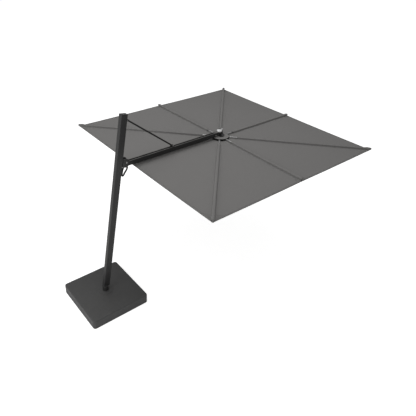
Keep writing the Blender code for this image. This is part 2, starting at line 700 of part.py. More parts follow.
def build_rib(hub, number):
    """One rib with its end piece and the cloth panel that it carries."""
    angle = number * math.tau / RIB_COUNT
    reach = hem_distance(angle)
    slope = math.atan2(DECK_RISE, reach)
    heading = Matrix.Rotation(angle, 4, "Z")
    root = heading @ Vector((RIB_ROOT, 0, RIB_AXIS_Z - TILT_Z))
    turn = Matrix.Translation(root) @ heading @ Matrix.Rotation(slope, 4, "Y")
    rib_frame = frame(f"rib_frame_{number + 1}", turn, hub)

    box_start = 0.027
    box_end = reach - RIB_ROOT - TIP_LENGTH + 0.004
    rib = box(f"rib_{number + 1}", (box_end - box_start, RIB_WIDTH, RIB_HEIGHT), POWDER, 0.002, 1)
    place(rib, rib_frame, ((box_start + box_end) / 2, 0, 0))
    tongue = box(f"rib_tongue_{number + 1}", (box_start + 0.004, TONGUE_WIDTH, 0.018), POWDER)
    place(tongue, rib_frame, ((box_start + 0.004) / 2, 0, 0))
    cut(rib, tongue, "UNION")
    eye = drum(f"rib_eye_{number + 1}", 0.009, TONGUE_WIDTH, POWDER, segments=24)
    place(eye, rib_frame, (0, 0, 0), SIDEWAYS)
    cut(rib, eye, "UNION")
    bore = drum(f"rib_bore_{number + 1}", RING_WIRE + 0.0007, 0.03, POWDER, segments=16)
    place(bore, rib_frame, (0, 0, 0), SIDEWAYS)
    cut(rib, bore)

    tip = box(f"rib_tip_{number + 1}", (TIP_LENGTH, TIP_SIDE, TIP_SIDE), PLASTIC, 0.003)
    place(tip, rib_frame, (reach - RIB_ROOT - TIP_LENGTH / 2 + 0.005, 0, (TIP_SIDE - RIB_HEIGHT) / 2))
    pocket = box(f"tip_pocket_{number + 1}", (0.012, RIB_WIDTH + 2 * GAP, RIB_HEIGHT + 2 * GAP), PLASTIC)
    place(pocket, rib_frame, (reach - RIB_ROOT - TIP_LENGTH, 0, 0))
    cut(tip, pocket)
    build_panel(hub, number)


def build_panel(hub, number):
    """The cloth between this rib's two neighbouring bisectors: two flat halves folded at the rib."""
    middle = number * math.tau / RIB_COUNT
    inner = 0.032
    parting = GAP / 2
    bm = bmesh.new()
    rows = []
    for offset in (-math.pi / RIB_COUNT, 0.0, math.pi / RIB_COUNT):
        angle = middle + offset
        side = Vector((-math.sin(angle), math.cos(angle), 0))
        shift = side * -math.copysign(parting, offset) if offset else Vector()
        corner = hem_distance(angle)
        ends = []
        for radius in (inner, corner):
            z = DECK_HUB_Z - DECK_RISE * radius / corner - TILT_Z
            ends.append(bm.verts.new(Vector((radius * math.cos(angle), radius * math.sin(angle), z)) + shift))
        rows.append(ends)
    for (a, b), (c, d) in zip(rows, rows[1:]):
        bm.faces.new((a, b, d, c))
    panel = mesh_object(f"canopy_panel_{number + 1}", bm, CLOTH_GREY)
    place(panel, hub)
    sheet = panel.modifiers.new("cloth", "SOLIDIFY")
    sheet.thickness = CLOTH
    sheet.offset = 0.0


build_base()
MAST = build_mast()
build_carriage(MAST)
build_arm()
build_strut()
build_hub()
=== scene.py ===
"""Visual model of a cantilever parasol: cloth, seams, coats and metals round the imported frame."""

import math

import bmesh
import bpy
import numpy as np
from mathutils import Matrix, Vector


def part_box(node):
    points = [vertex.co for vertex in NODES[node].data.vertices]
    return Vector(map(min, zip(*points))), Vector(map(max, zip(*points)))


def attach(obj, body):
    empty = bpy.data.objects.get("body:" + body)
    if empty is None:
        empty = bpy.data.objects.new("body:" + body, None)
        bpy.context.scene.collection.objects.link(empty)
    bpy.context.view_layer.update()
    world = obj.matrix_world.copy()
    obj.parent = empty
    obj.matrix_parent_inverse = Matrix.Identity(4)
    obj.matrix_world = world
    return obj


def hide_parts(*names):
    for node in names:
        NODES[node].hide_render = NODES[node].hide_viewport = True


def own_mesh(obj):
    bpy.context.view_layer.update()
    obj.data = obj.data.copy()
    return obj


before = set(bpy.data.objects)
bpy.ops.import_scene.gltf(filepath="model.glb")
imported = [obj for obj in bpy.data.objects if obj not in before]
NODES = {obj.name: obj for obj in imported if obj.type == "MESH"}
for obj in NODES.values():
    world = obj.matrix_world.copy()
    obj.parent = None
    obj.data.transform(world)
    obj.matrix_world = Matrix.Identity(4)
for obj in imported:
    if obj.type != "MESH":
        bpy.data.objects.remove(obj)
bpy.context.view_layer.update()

RIBS = range(1, 9)
STEP = math.tau / len(RIBS)  # angle between neighbouring ribs

# The cloth's place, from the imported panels
_boxes = [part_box(f"canopy_panel_{k}") for k in RIBS]
LOW = Vector([min(b[0][i] for b in _boxes) for i in range(3)])
HIGH = Vector([max(b[1][i] for b in _boxes) for i in range(3)])
HALF = (HIGH.x - LOW.x) / 2
HUB_X = (HIGH.x + LOW.x) / 2
HUB_Y = (HIGH.y + LOW.y) / 2
DECK_HUB = HIGH.z - 0.001
DECK_HEM = LOW.z + 0.001
TIP_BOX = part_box("rib_tip_1")
TIP_INSIDE = HALF - (TIP_BOX[0].x - HUB_X)  # how far a rib's end piece reaches in from the hem
VENT_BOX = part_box("vent_cap")
VENT_RADIUS = (VENT_BOX[1].x - VENT_BOX[0].x) / 2
VENT_Z = (VENT_BOX[0].z + VENT_BOX[1].z) / 2
RIB_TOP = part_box("rib_1")[1].z

# Cloth, in metres
INNER = 0.0358  # radius of the hole round the hub
SEAM = 0.0215  # half width of a sleeve's base
SLEEVE_START = 0.250  # from the hub to a sleeve's inner end
SAG = 0.008  # deepest sag of the cloth between two ribs
HEM_WIDTH = 0.026
CLOTH_THICKNESS = 0.0012
SLEEVE_THICKNESS = 0.0009
PATCH_THICKNESS = 0.0026
CENTRE_THICKNESS = 0.0030
PARTING = 0.00004  # from a panel's edge to the line it shares with its neighbour
MAP = "cut"  # the UV layer that holds the flat cut, in metres


# ---------------------------------------------------------------- materials

class Recipe:
    """One procedural material, built node by node from the object's own coordinates."""

    def __init__(self, name):
        self.material = bpy.data.materials.new(name)
        self.material.use_nodes = True
        self.tree = self.material.node_tree
        self.tree.nodes.clear()
        self.shader = self.node("ShaderNodeBsdfPrincipled")
        out = self.node("ShaderNodeOutputMaterial")
        self.tree.links.new(self.shader.outputs["BSDF"], out.inputs["Surface"])
        self.where = self.node("ShaderNodeTexCoord").outputs["Object"]

    def node(self, kind, inputs=(), **settings):
        made = self.tree.nodes.new(kind)
        for key, value in settings.items():
            setattr(made, key, value)
        for key, value in dict(inputs).items():
            self.feed(made.inputs[key], value)
        return made

    def feed(self, socket, value):
        if isinstance(value, bpy.types.NodeSocket):
            self.tree.links.new(value, socket)
        else:
            socket.default_value = value

    def surface(self, **values):
        """Values for the shader, such as Base_Color=..., Roughness=..."""
        for key, value in values.items():
            self.feed(self.shader.inputs[key.replace("_", " ")], value)

    def stretched(self, x, y, z, at=None):
        """Coordinates multiplied by a factor on each axis."""
        at = self.where if at is None else at
        return self.node(
            "ShaderNodeVectorMath", {0: at, 1: (x, y, z)}, operation="MULTIPLY"
        ).outputs["Vector"]

    def noise(self, scale, detail=2.0, rough=0.5, at=None):
        at = self.where if at is None else at
        return self.node(
            "ShaderNodeTexNoise", {"Vector": at, "Scale": scale, "Detail": detail, "Roughness": rough}
        ).outputs["Fac"]

    def cells(self, scale, at=None):
        """Distance from the middle of each cell of a random pattern."""
        at = self.where if at is None else at
        return self.node("ShaderNodeTexVoronoi", {"Vector": at, "Scale": scale}).outputs["Distance"]

    def spread(self, value, low, high, start=0.0, end=1.0):
        """value between start and end, mapped to between low and high and held there."""
        return self.node(
            "ShaderNodeMapRange",
            {"Value": value, "From Min": start, "From Max": end, "To Min": low, "To Max": high},
        ).outputs["Result"]

    def calc(self, operation, a, b=0.0):
        return self.node("ShaderNodeMath", {0: a, 1: b}, operation=operation).outputs[0]

    def mix(self, share, a, b):
        made = self.node("ShaderNodeMix", data_type="RGBA")
        for socket, value in ((made.inputs[0], share), (made.inputs[6], a), (made.inputs[7], b)):
            self.feed(socket, value)
        return made.outputs[2]

    def bump(self, height, distance, strength=1.0, below=None):
        inputs = {"Height": height, "Distance": distance, "Strength": strength}
        if below is not None:
            inputs["Normal"] = below
        return self.node("ShaderNodeBump", inputs).outputs["Normal"]

    def edges(self, radius):
        """0 on flat surfaces, 1 at sharp edges."""
        soft = self.node("ShaderNodeBevel", {"Radius": radius}, samples=4).outputs["Normal"]
        true = self.node("ShaderNodeNewGeometry").outputs["Normal"]
        dot = self.node("ShaderNodeVectorMath", {0: soft, 1: true}, operation="DOT_PRODUCT")
        return self.spread(dot.outputs["Value"], 1.0, 0.0, 0.85, 0.995)

    def upward(self):
        """1 on surfaces that face up, where dust settles and where light from above is painted."""
        true = self.node("ShaderNodeNewGeometry").outputs["Normal"]
        z = self.node("ShaderNodeSeparateXYZ", {0: true}).outputs["Z"]
        return self.spread(z, 0.0, 1.0, 0.5, 0.95)


def grey(level, warmth=0.0):
    """A grey in linear light; warmth lifts red and lowers blue."""
    return (level * (1 + warmth), level, level * (1 - warmth), 1.0)


def coated(name, level, rough, grain, wear=0.5, dust_and_lit_top=0.25, gloss=0.45, relief=0.00008,
           metallic=0.0, mottle=0.08, top_paleness=0.02):
    """Powder coat: fine orange peel, uneven gloss, edges rubbed a little lighter, dust and painted
    light on top.

    level is the coat's grey, mottle its unevenness, wear how far edges are rubbed, and dust_and_lit_top
    and top_paleness how much paler the surfaces that face up are painted, as dust and as painted light,
    and how pale.
    """
    r = Recipe(name)
    patches = r.spread(r.noise(5.0, 4.0, 0.6), 0.0, 1.0, 0.35, 0.65)
    base = r.mix(patches, grey(level * (1 - mottle)), grey(level * (1 + mottle)))
    specks = r.spread(r.noise(grain * 0.7, 3.0, 0.6), 0.0, 1.0, 0.35, 0.65)
    base = r.mix(r.calc("MULTIPLY", specks, 0.35), base, grey(level * 1.35))
    uneven = r.spread(r.noise(70.0, 4.0, 0.7), 0.1, 1.0, 0.42, 0.68)
    rubbed = r.calc("MULTIPLY", r.edges(0.0016), uneven)
    base = r.mix(r.calc("MULTIPLY", rubbed, wear), base, grey(level * 2.4 + 0.02))
    # surfaces that face up are painted paler: dust, and painted light from above
    dust_and_light_drifts = r.spread(r.noise(14.0, 5.0, 0.65), 0.3, 1.0, 0.35, 0.65)
    dust_and_lit_top_mask = r.calc("MULTIPLY", r.upward(), dust_and_light_drifts)
    base = r.mix(r.calc("MULTIPLY", dust_and_lit_top_mask, dust_and_lit_top), base, grey(level * 1.5 + top_paleness, 0.04))
    streaks = r.noise(1.0, 3.0, 0.6, r.stretched(26.0, 26.0, 3.0))
    dull = r.calc("ADD", r.calc("MULTIPLY", patches, 0.5), r.calc("MULTIPLY", streaks, 0.5))
    roughness = r.spread(dull, rough - 0.06, rough + 0.08, 0.2, 0.8)
    peel = r.bump(r.noise(grain * 0.2, 2.0), relief * 3.0, 0.5)
    normal = r.bump(r.noise(grain, 3.0, 0.55), relief, 0.8, peel)
    r.surface(Base_Color=base, Roughness=roughness, Normal=normal,
              Specular_IOR_Level=gloss, Metallic=metallic)
    return r.material


def metal(name, level, rough, brush=(12.0, 12.0, 900.0), warmth=0.0, metallic=1.0):
    """Brushed or turned metal with fine lines, faint smears and hairline scratches."""
    r = Recipe(name)
    lines = r.noise(1.0, 4.0, 0.6, r.stretched(*brush))
    smears = r.noise(40.0, 4.0, 0.6)
    dark, pale = grey(level * 0.86, warmth), grey(level * 1.06, warmth)
    base = r.mix(r.spread(lines, 0.0, 1.0, 0.3, 0.7), dark, pale)
    base = r.mix(r.spread(smears, 0.0, 0.35, 0.5, 0.8), base, grey(level * 0.6, warmth))
    scratches = r.spread(r.cells(1.0, r.stretched(900.0, 60.0, 300.0)), 0.3, 0.0, 0.0, 0.06)
    smeared = r.spread(smears, rough - 0.05, rough + 0.10, 0.3, 0.7)
    roughness = r.calc("ADD", smeared, r.calc("MULTIPLY", scratches, 0.3))
    r.surface(Base_Color=base, Roughness=roughness, Normal=r.bump(lines, 0.00004, 0.6),
              Metallic=metallic)
    return r.material


def moulded(name, level, rough, warmth=0.0):
    """Moulded plastic with a fine sparked grain and dull patches."""
    r = Recipe(name)
    patches = r.noise(22.0, 3.0)
    dark, pale = grey(level * 0.9, warmth), grey(level * 1.15, warmth)
    base = r.mix(r.spread(patches, 0.0, 1.0, 0.35, 0.65), dark, pale)
    rubbed = r.calc("MULTIPLY", r.edges(0.0010), r.spread(r.noise(120.0, 3.0), 0.0, 0.5, 0.45, 0.7))
    base = r.mix(rubbed, base, grey(level * 2.0 + 0.01, warmth))
    grain = r.bump(r.cells(1700.0), 0.00005, 0.7)
    roughness = r.spread(patches, rough - 0.05, rough + 0.08, 0.3, 0.7)
    r.surface(Base_Color=base, Roughness=roughness, Normal=grain, Specular_IOR_Level=0.4)
    return r.material


def cast_stone(name):
    """Cast concrete: sandy paste, darker stones and small air holes."""
    r = Recipe(name)
    sand = r.noise(420.0, 4.0, 0.7)
    stones = r.cells(75.0)
    base = r.mix(r.spread(sand, 0.0, 1.0, 0.3, 0.7), (0.27, 0.26, 0.245, 1), (0.41, 0.40, 0.38, 1))
    base = r.mix(r.spread(stones, 0.4, 0.0, 0.05, 0.35), base, (0.20, 0.20, 0.20, 1))
    holes = r.spread(r.cells(160.0), 0.0, 1.0, 0.06, 0.16)
    normal = r.bump(holes, 0.0012, 0.8, r.bump(sand, 0.0004, 0.6))
    r.surface(Base_Color=base, Roughness=r.spread(sand, 0.82, 0.97), Normal=normal,
              Specular_IOR_Level=0.25)
    return r.material


def canvas(name, level, warmth, thread=0.0009, melange=0.07):
    """Woven canvas: plain weave, slubbed yarns, faint uneven fading.

    thread is the weave's pitch in metres and melange how far the yarns differ in shade.
    """
    r = Recipe(name)
    cut = r.node("ShaderNodeUVMap", uv_map=MAP).outputs["UV"]
    flat = r.node("ShaderNodeSeparateXYZ", {0: cut})
    waves = [
        r.calc("SINE", r.calc("MULTIPLY", flat.outputs[axis], math.pi / thread))
        for axis in ("X", "Y")
    ]
    weave = r.spread(r.calc("MULTIPLY", *waves), 0.0, 1.0, -1.0, 1.0)
    warp = r.noise(1.0, 3.0, 0.6, r.stretched(1 / thread, 26.0, 1.0, cut))
    weft = r.noise(1.0, 3.0, 0.6, r.stretched(26.0, 1 / thread, 1.0, cut))
    yarns = r.calc("MULTIPLY", r.calc("ADD", warp, weft), 0.5)
    fading = r.noise(1.3, 4.0, 0.55, cut)
    dark, pale = grey(level * (1 - melange), warmth), grey(level * (1 + melange), warmth)
    base = r.mix(r.spread(yarns, 0.0, 1.0, 0.35, 0.65), dark, pale)
    base = r.mix(r.calc("MULTIPLY", weave, 0.16), base, grey(level * 0.72, warmth))
    base = r.mix(r.spread(fading, 0.0, 0.12, 0.4, 0.7), base, grey(level * 1.25, warmth))
    soiled = r.spread(r.noise(9.0, 5.0, 0.6, cut), 0.0, 0.08, 0.45, 0.8)
    base = r.mix(soiled, base, grey(level * 0.75, warmth * 1.5))
    relief = r.bump(weave, thread * 0.22, 0.5, r.bump(yarns, 0.0003, 0.5))
    r.surface(Base_Color=base, Roughness=r.spread(fading, 0.86, 0.95, 0.3, 0.7), Normal=relief,
              Specular_IOR_Level=0.18, Sheen_Weight=0.06, Sheen_Roughness=0.5)
    return r.material


def yarn(name, level, warmth):
    """Twisted sewing thread."""
    r = Recipe(name)
    twist = r.noise(1.0, 2.0, 0.5, r.stretched(900.0, 900.0, 2600.0))
    base = r.mix(twist, grey(level * 0.7, warmth), grey(level * 1.3, warmth))
    r.surface(Base_Color=base, Roughness=r.spread(twist, 0.6, 0.8),
              Normal=r.bump(twist, 0.0002, 0.5), Specular_IOR_Level=0.3)
    return r.material


POWDER = coated("powder_coat_charcoal", 0.022, 0.46, 1300.0)
# the arm's top faces are painted far paler than its black sides: mostly a painted highlight of the sky,
# with some dust
ARM_COAT = coated("arm_coat_black", 0.015, 0.42, 1500.0, dust_and_lit_top=0.85, gloss=0.42, top_paleness=0.075)
COVER_COAT = coated("cover_coat_textured", 0.046, 0.58, 900.0, wear=0.35, dust_and_lit_top=0.15,
                    relief=0.00012, mottle=0.03)
RIB_COAT = coated("rib_coat_graphite", 0.40, 0.32, 1500.0, wear=0.3, dust_and_lit_top=0.05, gloss=0.5,
                  metallic=0.85)
HUB_COAT = coated("hub_coat_black", 0.013, 0.46, 1300.0, dust_and_lit_top=0.2, gloss=0.40, top_paleness=0.03)
STEEL = metal("stainless_steel", 0.50, 0.34)
SILVER = metal("turned_aluminium", 0.80, 0.36, brush=(160.0, 160.0, 900.0), metallic=0.6)
ZINC = metal("zinc_plate", 0.42, 0.45, brush=(60.0, 60.0, 60.0), warmth=0.01)
STONE = cast_stone("cast_concrete")
PLASTIC = moulded("black_nylon", 0.016, 0.48)
TIP_NYLON = moulded("grey_nylon", 0.105, 0.50, 0.02)
CANVAS = canvas("canvas_taupe_grey", 0.147, 0.022)
BINDING = canvas("binding_taupe_grey", 0.136, 0.022, thread=0.0007, melange=0.10)
BLACK_TAPE = canvas("black_webbing", 0.005, 0.0, thread=0.0012, melange=0.15)
# the thread is darker than the cloth, partly to paint the shade lines along the feet of the sleeves
THREAD_DARKENED_FOR_SHADE = yarn("sewing_thread_darkened_for_shade", 0.075, 0.01)

FINISHES = {
    POWDER: ["mast_profile", "mast_socket", "strut_bracket", "carriage_bracket"],
    HUB_COAT: ["hub_body", "rib_ring", "handle_loop"],
    RIB_COAT: [f"rib_{k}" for k in RIBS],
    ARM_COAT: ["arm_beam", "arm_root", "arm_head", "strut_bar", "strut_lug_left", "strut_lug_right"],
    COVER_COAT: ["base_cover", "cover_rosette"],
    STEEL: ["strut_head_pin", "arm_pivot_bolt", "handle_pin", "hub_tilt_pin", "strut_foot_bolt_left",
            "strut_foot_bolt_right", "rib_ring_wire"],
    SILVER: ["head_cap", "lock_pin"],
    ZINC: ["base_plate", "base_spigot", "pivot_cap_left", "pivot_cap_right"],
    STONE: [f"ballast_slab_{k}" for k in range(1, 5)],
    PLASTIC: ["mast_cap", "carriage_glide", "hub_nut"],
    TIP_NYLON: [f"rib_tip_{k}" for k in RIBS],
}
for finish, names in FINISHES.items():
    for name in names:
        slots = NODES[name].data.materials
        if not slots:
            slots.append(finish)
        for index in range(len(slots)):
            slots[index] = finish


# ---------------------------------------------------------------- meshes

def hem_reach(angle):
    """From the hub to the canopy's square edge, in a direction."""
    return HALF / np.maximum(np.abs(np.cos(angle)), np.abs(np.sin(angle)))


def deck(x, y):
    """Height of the cloth's middle surface at rest; x and y are measured from the hub."""
    radius, angle = np.hypot(x, y), np.arctan2(y, x)
    share = radius / hem_reach(angle)
    rib = np.round(angle / STEP)
    off = angle - rib * STEP
    beside, along = radius * np.abs(np.sin(off)), radius * np.cos(off)
    span = np.maximum(radius * math.sin(STEP / 2) - SEAM, 1e-6)
    across = np.clip((beside - SEAM) / span, 0, 1)
    along_rib = share**0.7 * (1 - 0.55 * share**6)
    sag = SAG * np.clip(span / 0.2, 0, 1) * along_rib * (1 - (1 - across) ** 2)
    z = DECK_HUB + (DECK_HEM - DECK_HUB) * share - sag

    # small puckers along the sleeves' seams
    side = np.sign(off)
    beside_seam = np.exp(-(((beside - SEAM) / 0.035) ** 2)) * np.clip(span / 0.05, 0, 1)
    z += 0.0006 * beside_seam * (
        np.sin(along * math.tau / 0.047 + 1.7 * rib + 2.1 * side)
        + 0.7 * np.sin(along * math.tau / 0.083 + 2.9 * rib - 1.3 * side)
    )
    # puckers beside the hem
    from_hem = HALF * (1 - share)
    lateral = np.where(np.abs(x) > np.abs(y), y, x)
    beside_hem = np.exp(-(((from_hem - HEM_WIDTH) / 0.03) ** 2))
    z += 0.0005 * beside_hem * np.sin(lateral * math.tau / 0.041 + 3.0 * np.sin(lateral * 5.0))
    # slow waves over the whole cloth, none at the hub and the hem
    z += 0.0011 * np.clip(4 * share * (1 - share), 0, 1) * np.sin(
        math.tau * (0.9 * x + 0.35 * y) / 0.7 + 1.3
    ) * np.sin(math.tau * (0.8 * y - 0.3 * x) / 0.9 + 0.4)
    # pull lines that fan out from the corners
    corner = np.hypot(HALF - np.abs(x), HALF - np.abs(y))
    spoke = np.arctan2(HALF - np.abs(y), HALF - np.abs(x))
    z += 0.0010 * np.exp(-corner / 0.18) * (1 - np.exp(-corner / 0.04)) * np.sin(spoke * 15)
    # the hem's edge hangs a little
    z -= 0.0025 * np.clip(1 - from_hem / 0.020, 0, 1) ** 2
    return z


def new_object(name, points, faces, material, smooth=60.0, flat=None):
    """A mesh object from points in the row frame, smooth up to an angle in degrees, or flat at 0.

    flat is each point's place on the cut cloth.
    """
    mesh = bpy.data.meshes.new(name)
    mesh.from_pydata([tuple(p) for p in points], [], [tuple(f) for f in faces])
    mesh.validate()
    mesh.materials.append(material)
    if flat is not None:
        layer = mesh.uv_layers.new(name=MAP)
        corner = np.zeros(len(mesh.loops), np.int32)
        mesh.loops.foreach_get("vertex_index", corner)
        layer.data.foreach_set("uv", np.asarray(flat, np.float32)[corner].ravel())
    if smooth:
        mesh.shade_smooth()
        mesh.set_sharp_from_angle(angle=math.radians(smooth))
    obj = bpy.data.objects.new(name, mesh)
    bpy.context.scene.collection.objects.link(obj)
    return obj


def grid_faces(rows, cols, wrap=False):
    """Four-sided faces of a grid of points; wrap joins the last column to the first."""
    i, j = np.meshgrid(np.arange(rows - 1), np.arange(cols if wrap else cols - 1), indexing="ij")
    a, b = i * cols + j, (i + 1) * cols + j
    c, d = (i + 1) * cols + (j + 1) % cols, i * cols + (j + 1) % cols
    return np.stack([a, b, c, d], -1).reshape(-1, 4)


def on_deck(x, y, lift=0.0):
    """Points in the row frame over hub-centred x and y, lift above the cloth's middle."""
    return np.stack([x + HUB_X, y + HUB_Y, deck(x, y) + lift], -1).reshape(-1, 3)


def turned(along, beside, angle):
    """Hub-centred x and y from places along and beside a rib."""
    return (along * math.cos(angle) - beside * math.sin(angle),
            along * math.sin(angle) + beside * math.cos(angle))


def face_out(obj, smooth):
    """Turn a closed mesh's faces outward and shade it smooth up to an angle in degrees."""
    bm = bmesh.new()
    bm.from_mesh(obj.data)
    bmesh.ops.recalc_face_normals(bm, faces=bm.faces)
    bm.to_mesh(obj.data)
    bm.free()
    obj.data.shade_smooth()
    obj.data.set_sharp_from_angle(angle=math.radians(smooth))
    return obj


def slab(name, x, y, thickness, material):
    """A closed layer of cloth of even thickness over a grid of hub-centred places."""
    rows, cols = x.shape
    layers = [on_deck(x, y, side * thickness / 2).reshape(rows, cols, 3) for side in (1, -1)]
    rings = np.concatenate([layers[0], layers[1][:, ::-1]], 1)
    flat = np.stack([x, y], -1)
    flat = np.concatenate([flat, flat[:, ::-1]], 1)
    around = 2 * cols
    j = np.arange(cols - 1)
    rim = np.stack([j, j + 1, around - 2 - j, around - 1 - j], -1)
    faces = np.concatenate([grid_faces(rows, around, wrap=True), rim, rim + (rows - 1) * around])
    made = new_object(name, rings.reshape(-1, 3), faces, material, 0, flat.reshape(-1, 2))
    return face_out(made, 60)


def thicken(obj, thickness, offset=0.0):
    """Give a sheet its thickness; offset 0 keeps the sheet in the middle, 1 puts it all outside."""
    sheet = obj.modifiers.new("thickness", "SOLIDIFY")
    sheet.thickness, sheet.offset = thickness, offset
    return obj


def closed_strip(name, rings, material, flat, smooth):
    """A solid from rings of points, with both ends filled."""
    rings = np.asarray(rings)
    count, around = rings.shape[:2]
    faces = [tuple(f) for f in grid_faces(count, around, wrap=True)]
    faces.append(tuple(range(around)))
    faces.append(tuple((count - 1) * around + i for i in reversed(range(around))))
    return face_out(new_object(name, rings.reshape(-1, 3), faces, material, 0, flat), smooth)


def headings(angle, share, radius):
    """Directions across a panel; share runs from -1 to 1 between its two edges."""
    return angle + share * (STEP / 2 - PARTING / radius)


def wedge_columns(half_count, power):
    """Shares from -1 to 1 across a panel, closer together beside the rib."""
    u = np.linspace(-1, 1, 2 * half_count + 1)
    return np.sign(u) * np.abs(u) ** power


def fold_with(obj):
    """Gives the piece a mesh of its own."""
    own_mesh(obj)


COLUMNS = wedge_columns(20, 1.7)


def make_panel(k, angle):
    """The eighth part of the cloth that rib k carries, finer towards the hem."""
    rows = np.concatenate([np.linspace(0, 0.975, 118), np.linspace(0.975, 1, 8)[1:]])
    t, s = np.meshgrid(rows, COLUMNS, indexing="ij")
    heading = headings(angle, s, INNER + t * (HALF - INNER))
    radius = INNER + t * (hem_reach(heading) - INNER)
    radius = np.minimum(radius, hem_reach(heading) - 0.0006)  # ends inside the hem's fold
    x, y = radius * np.cos(heading), radius * np.sin(heading)
    return slab(f"canopy_cloth_{k}", x, y, CLOTH_THICKNESS, CANVAS)


# across the rib, and height over the cloth: the sleeve's section from its left foot to its middle
SLEEVE_HALF = (
    (-0.0248, 0.0010), (-0.0215, 0.0012), (-0.0192, 0.0018), (-0.0179, 0.0042), (-0.0171, 0.0095),
    (-0.0164, 0.0155), (-0.0156, 0.0207), (-0.0141, 0.0241), (-0.0110, 0.0256), (-0.0050, 0.0260),
)
SLEEVE_SHORT = 0.012  # from a sleeve's end to the hem
OVER_TIP = 1.13  # how much larger a sleeve is where it covers the rib's end piece


def make_sleeve(k, angle):
    """The sleeve over rib k: a turned lip at its inner end, wider where it covers the end piece."""
    reach = float(hem_reach(angle))
    end = reach - SLEEVE_SHORT
    section = np.array([*SLEEVE_HALF, (0.0, 0.0260), *((-b, h) for b, h in reversed(SLEEVE_HALF))])
    lip = np.array([0.0, 0.0006, 0.0120, 0.0128])
    body = np.linspace(0.022, end - SLEEVE_START, int((end - SLEEVE_START) / 0.011))
    along = SLEEVE_START + np.concatenate([lip, body])
    swell = np.zeros(len(along))
    swell[:3] = 0.0010
    a, index = np.meshgrid(along, np.arange(len(section)), indexing="ij")
    beside, height = section[index, 0].copy(), section[index, 1].copy()
    wall = np.sin(np.pi * np.clip(height / 0.026, 0, 1))
    ripple = (
        np.sin(a * math.tau / 0.061 + 1.9 * k + np.sign(beside))
        + 0.6 * np.sin(a * math.tau / 0.113 + 0.7 * k - 2.0 * np.sign(beside))
    )
    beside += np.sign(beside) * wall * (0.0005 + 0.0007 * ripple)
    lifted = np.clip(height / 0.02, 0, 1)
    larger = 1 + (OVER_TIP - 1) * np.clip((a - reach + TIP_INSIDE + 0.030) / 0.024, 0, 1) * lifted
    beside, height = beside * larger, height * larger
    height += swell[:, None] * lifted
    beside += np.sign(beside) * swell[:, None] * lifted
    if k % 2 == 0:  # a corner's sleeve narrows to stay on the cloth
        room = np.maximum(reach - a - 0.001, 0.0142)
        beside = np.sign(beside) * np.minimum(np.abs(beside), room)
    x, y = turned(a, beside, angle)
    girth = np.cumsum(np.r_[0, np.hypot(*np.diff(section, axis=0).T)])
    flat = np.stack([a, girth[index]], -1).reshape(-1, 2)
    sleeve = new_object(
        f"rib_sleeve_{k}", on_deck(x, y, height), grid_faces(*a.shape), CANVAS, 60, flat
    )
    return thicken(sleeve, SLEEVE_THICKNESS, 1.0)


# inwards from the edge, and height over the cloth's middle: the hem's tape, folded over the edge
HEM_SECTION = (
    (0.0260, 0.0010), (0.0252, 0.0017), (0.0030, 0.0019), (0.0008, 0.0013), (0.0, 0.0),
    (0.0008, -0.0013), (0.0030, -0.0019), (0.0252, -0.0017), (0.0260, -0.0010),
)


def make_hem(k, angle):
    heading = headings(angle, COLUMNS, HALF)
    rings, flat = [], []
    for inward, lift in HEM_SECTION:
        radius = hem_reach(heading) * (1 - inward / HALF)
        x, y = radius * np.cos(heading), radius * np.sin(heading)
        rings.append(on_deck(x, y, lift))
        flat.append(np.stack([x, y + 2 * lift], -1))
    rings = np.stack(rings, 1)
    return closed_strip(f"canopy_hem_{k}", rings, BINDING, np.stack(flat, 1).reshape(-1, 2), 40)


def make_patch(name, angle, start, stop, half_width):
    """A doubled piece of cloth on both faces of the canopy, symmetric about a rib."""
    along = np.linspace(start, stop, 12)
    share = np.linspace(-1, 1, 17)
    a, s = np.meshgrid(along, share, indexing="ij")
    beside = s * half_width(a)
    return slab(name, *turned(a, beside, angle), PATCH_THICKNESS, BINDING)


def make_centre(k, angle):
    """The doubled cloth round the hub."""
    s = np.linspace(-1, 1, 13)
    r, share = np.meshgrid(np.array([0.036, 0.060, 0.090, 0.118, 0.120]), s, indexing="ij")
    heading = headings(angle, share, r)
    x, y = r * np.cos(heading), r * np.sin(heading)
    return slab(f"centre_patch_{k}", x, y, CENTRE_THICKNESS, BINDING)


STITCH_PITCH, STITCH_LENGTH, STITCH_WIDTH = 0.0065, 0.0044, 0.0009
STITCH_LEVELS = ((-0.0003, 1.0), (0.0006, 0.55))  # height over the cloth, and share of the width


